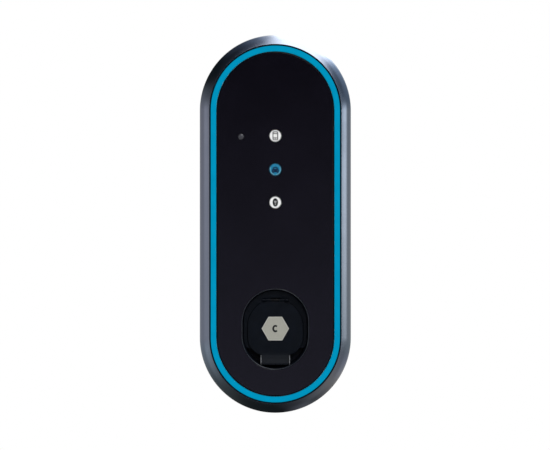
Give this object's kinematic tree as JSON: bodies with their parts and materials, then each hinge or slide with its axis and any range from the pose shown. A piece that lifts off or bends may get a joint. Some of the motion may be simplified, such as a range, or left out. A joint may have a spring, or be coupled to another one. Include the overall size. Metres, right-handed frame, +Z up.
{
  "type": "wall-mounted electric car charging socket",
  "caption": "Tall capsule-shaped wall charging box with a metallic frame, lit ring, gloss panel with round icons, and a recessed lidded socket.",
  "frame": {"origin": "centre of the wall bracket's wall face, on the box's vertical centre line and at mid height", "axes": "+Z up, +X to the right as seen from the front, +Y into the wall, so the front faces -Y"},
  "size_m": [0.18, 0.12, 0.45],
  "materials": {
    "bezel_metal": "satin metallic gunmetal paint on a moulded frame",
    "panel_gloss": "high-gloss black acrylic",
    "black_plastic": "fine-textured black",
    "lid_plastic": "satin blue-black",
    "light_blue": "translucent blue diffuser, lit from behind",
    "icon_white": "white disc behind clear lens, dark printed symbol",
    "icon_blue": "blue lit disc, dark printed symbol",
    "sensor_smoke": "smoked window",
    "label_grey": "warm grey film with a fine lighter edge",
    "rubber_black": "matte",
    "steel_zinc": "zinc plated",
    "steel_black": "black oxide",
    "contact_silver": "silver-plated copper alloy",
    "board_green": "solder-masked laminate",
    "board_white": "white solder-masked laminate",
    "part_black": "moulded",
    "part_grey": "moulded",
    "ferrite": "dark lacquered core",
    "copper": "copper foil",
    "wire_brown": "insulation",
    "wire_blue": "insulation",
    "wire_green": "insulation with a yellow stripe",
    "wire_orange": "insulation",
    "wire_violet": "insulation"
  },
  "bodies": {
    "charger": {"cable_grommet": "rubber_black", "card_antenna": "copper", "carrier_screw_0": "steel_zinc", "carrier_screw_1": "steel_zinc", "carrier_screw_2": "steel_zinc", "carrier_screw_3": "steel_zinc", "contact_carrier": "part_grey", "contact_earth": "contact_silver", "contact_line_1": "contact_silver", "contact_line_2": "contact_silver", "contact_line_3": "contact_silver", "contact_neutral": "contact_silver", "contact_pilot": "contact_silver", "contact_proximity": "contact_silver", "control_board": "board_green", "energy_meter": "part_grey", "front_bezel": "bezel_metal", "front_panel": "panel_gloss", "hinge_pin": "steel_black", "housing_gasket": "rubber_black", "icon_lens_charge": "icon_blue", "icon_lens_phone": "icon_white", "icon_lens_radio": "icon_white", "inner_carrier": "part_grey", "interface_board": "board_green", "leakage_sensor": "ferrite", "led_ring_board": "board_white", "lid_frame": "lid_plastic", "lid_spring": "steel_black", "light_ring": "light_blue", "light_ring_channel": "black_plastic", "lock_actuator": "part_black", "lock_motor": "steel_zinc", "output_terminals": "part_grey", "power_board": "board_green", "power_supply": "part_black", "radio_shield": "steel_zinc", "rear_housing": "black_plastic", "recess_well": "black_plastic", "relay_0": "part_black", "relay_1": "part_black", "sensor_window": "sensor_smoke", "socket_body": "black_plastic", "socket_screw_0": "steel_zinc", "socket_screw_1": "steel_zinc", "socket_screw_2": "steel_zinc", "socket_screw_3": "steel_zinc", "supply_terminals": "part_grey", "wall_bracket": "steel_zinc", "wire_earth": "wire_green", "wire_line": "wire_brown", "wire_neutral": "wire_blue", "wire_pilot": "wire_orange", "wire_proximity": "wire_violet"},
    "lid": {"socket_lid": "lid_plastic", "type_label": "label_grey", "lid_seal": "rubber_black"},
    "lock_pin": {"lock_pin": "steel_zinc"}
  },
  "joints": [
    {"name": "lid_hinge", "type": "hinge", "parent": "charger", "child": "lid", "pos_m": [0, -0.1074, -0.0905], "axis": [-1, 0, 0], "range_deg": [0, 92], "stiffness_Nm_per_rad": 0.02, "springref_deg": -34.38, "deforming": ["lid_spring"]},
    {"name": "lock_slide", "type": "slide", "parent": "charger", "child": "lock_pin", "axis": [0, 0, -1], "range_m": [0, 0.0055]}
  ]
}
